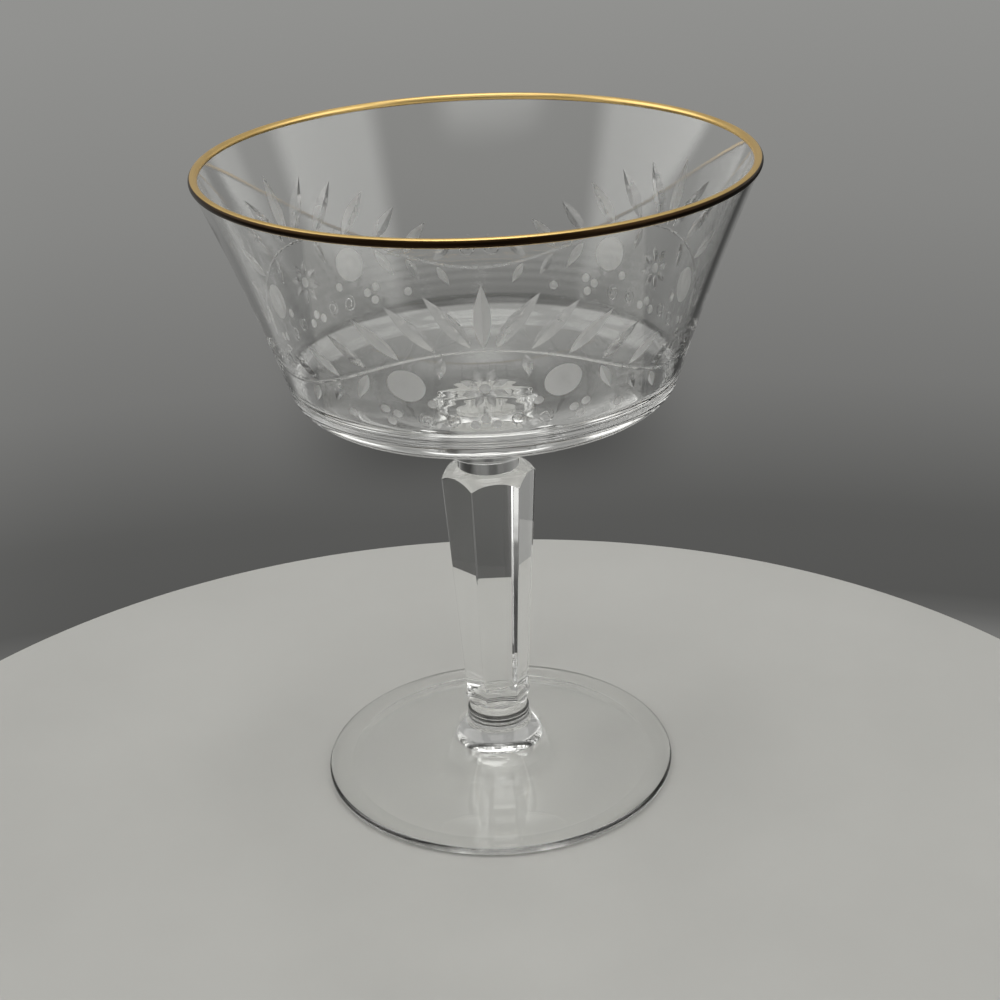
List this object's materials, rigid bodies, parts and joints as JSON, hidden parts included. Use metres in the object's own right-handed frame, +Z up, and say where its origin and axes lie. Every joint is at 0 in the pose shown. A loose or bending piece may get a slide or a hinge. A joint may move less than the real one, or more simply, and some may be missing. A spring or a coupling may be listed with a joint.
{
  "type": "coupe glass",
  "caption": "Clear stemmed coupe with a flared, flat-bottomed bowl, gilded lip, panel-cut tapering stem and round foot, for serving drinks or desserts.",
  "frame": {"origin": "middle of the foot's resting plane, on the axis of turning", "axes": "+Z up the axis of turning to the lip; one panel of the stem faces nearly along -Y"},
  "size_m": [0.1, 0.1, 0.1236],
  "materials": {
    "clear_glass": "clear, fire-polished",
    "cut_glass": "clear, cut and polished panels",
    "engraved_glass": "clear, with a wheel-cut band",
    "fired_gold": "bright fired gold"
  },
  "bodies": {
    "root": {"foot": "clear_glass", "foot_collar": "clear_glass", "stem": "cut_glass", "bowl_button": "clear_glass", "bowl": "engraved_glass", "rim_gilding": "fired_gold"}
  },
  "joints": []
}
